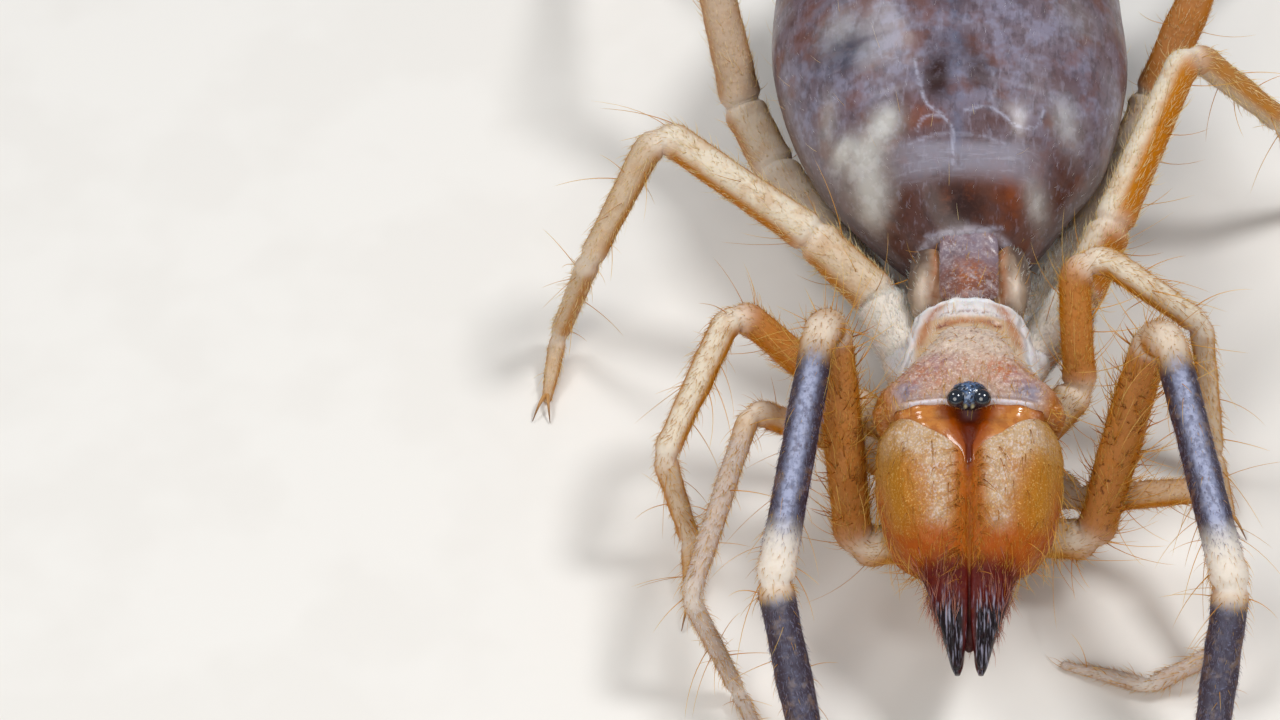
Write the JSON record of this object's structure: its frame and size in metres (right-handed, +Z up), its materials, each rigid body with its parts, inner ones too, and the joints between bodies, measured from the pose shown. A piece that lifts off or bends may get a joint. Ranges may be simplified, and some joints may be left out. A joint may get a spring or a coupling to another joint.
{
  "type": "camel spider",
  "caption": "Life-size camel spider with large forward jaws, a swollen soft abdomen, two long feelers and eight jointed hairy legs, standing still with its feet on the floor.",
  "frame": {"origin": "middle of the whole animal's bounding box, at the floor under its feet", "axes": "+Z up; -Y is the way the animal faces, +X is its left side"},
  "size_m": [0.0564, 0.08, 0.0193],
  "materials": {
    "shield_cuticle": "satin, finely hairy horn",
    "bulb_cuticle": "smooth glossy horn with bristles",
    "finger_cuticle": "hard dark glossy horn",
    "eye_lens": "wet-looking black lens",
    "limb_cuticle": "satin, finely hairy horn",
    "feeler_cuticle": "satin, finely hairy horn",
    "abdomen_membrane": "soft glossy skin"
  },
  "bodies": {
    "root": {"head_shield": "shield_cuticle", "eye_right": "eye_lens", "eye_left": "eye_lens", "chelicera_right": "bulb_cuticle", "chelicera_left": "bulb_cuticle", "finger_right": "finger_cuticle", "finger_left": "finger_cuticle", "thorax": "shield_cuticle", "abdomen": "abdomen_membrane", "palp_right_trochanter": "limb_cuticle", "palp_right_femur": "limb_cuticle", "palp_right_tibia": "feeler_cuticle", "palp_right_metatarsus": "feeler_cuticle", "palp_left_trochanter": "limb_cuticle", "palp_left_femur": "limb_cuticle", "palp_left_tibia": "feeler_cuticle", "palp_left_metatarsus": "feeler_cuticle", "leg1_right_trochanter": "limb_cuticle", "leg1_right_femur": "limb_cuticle", "leg1_right_tibia": "limb_cuticle", "leg1_right_metatarsus": "limb_cuticle", "leg1_left_trochanter": "limb_cuticle", "leg1_left_femur": "limb_cuticle", "leg1_left_tibia": "limb_cuticle", "leg1_left_metatarsus": "limb_cuticle", "leg2_right_trochanter": "limb_cuticle", "leg2_right_femur": "limb_cuticle", "leg2_right_tibia": "limb_cuticle", "leg2_right_metatarsus": "limb_cuticle", "leg2_left_trochanter": "limb_cuticle", "leg2_left_femur": "limb_cuticle", "leg2_left_tibia": "limb_cuticle", "leg2_left_metatarsus": "limb_cuticle", "leg3_right_trochanter": "limb_cuticle", "leg3_right_basifemur": "limb_cuticle", "leg3_right_femur": "limb_cuticle", "leg3_right_tibia": "limb_cuticle", "leg3_right_metatarsus": "limb_cuticle", "leg3_right_tarsus": "limb_cuticle", "leg3_left_trochanter": "limb_cuticle", "leg3_left_basifemur": "limb_cuticle", "leg3_left_femur": "limb_cuticle", "leg3_left_tibia": "limb_cuticle", "leg3_left_metatarsus": "limb_cuticle", "leg3_left_tarsus": "limb_cuticle", "leg4_right_trochanter": "limb_cuticle", "leg4_right_basifemur": "limb_cuticle", "leg4_right_femur": "limb_cuticle", "leg4_right_tibia": "limb_cuticle", "leg4_right_metatarsus": "limb_cuticle", "leg4_right_tarsus": "limb_cuticle", "leg4_left_trochanter": "limb_cuticle", "leg4_left_basifemur": "limb_cuticle", "leg4_left_femur": "limb_cuticle", "leg4_left_tibia": "limb_cuticle", "leg4_left_metatarsus": "limb_cuticle", "leg4_left_tarsus": "limb_cuticle"}
  },
  "joints": []
}
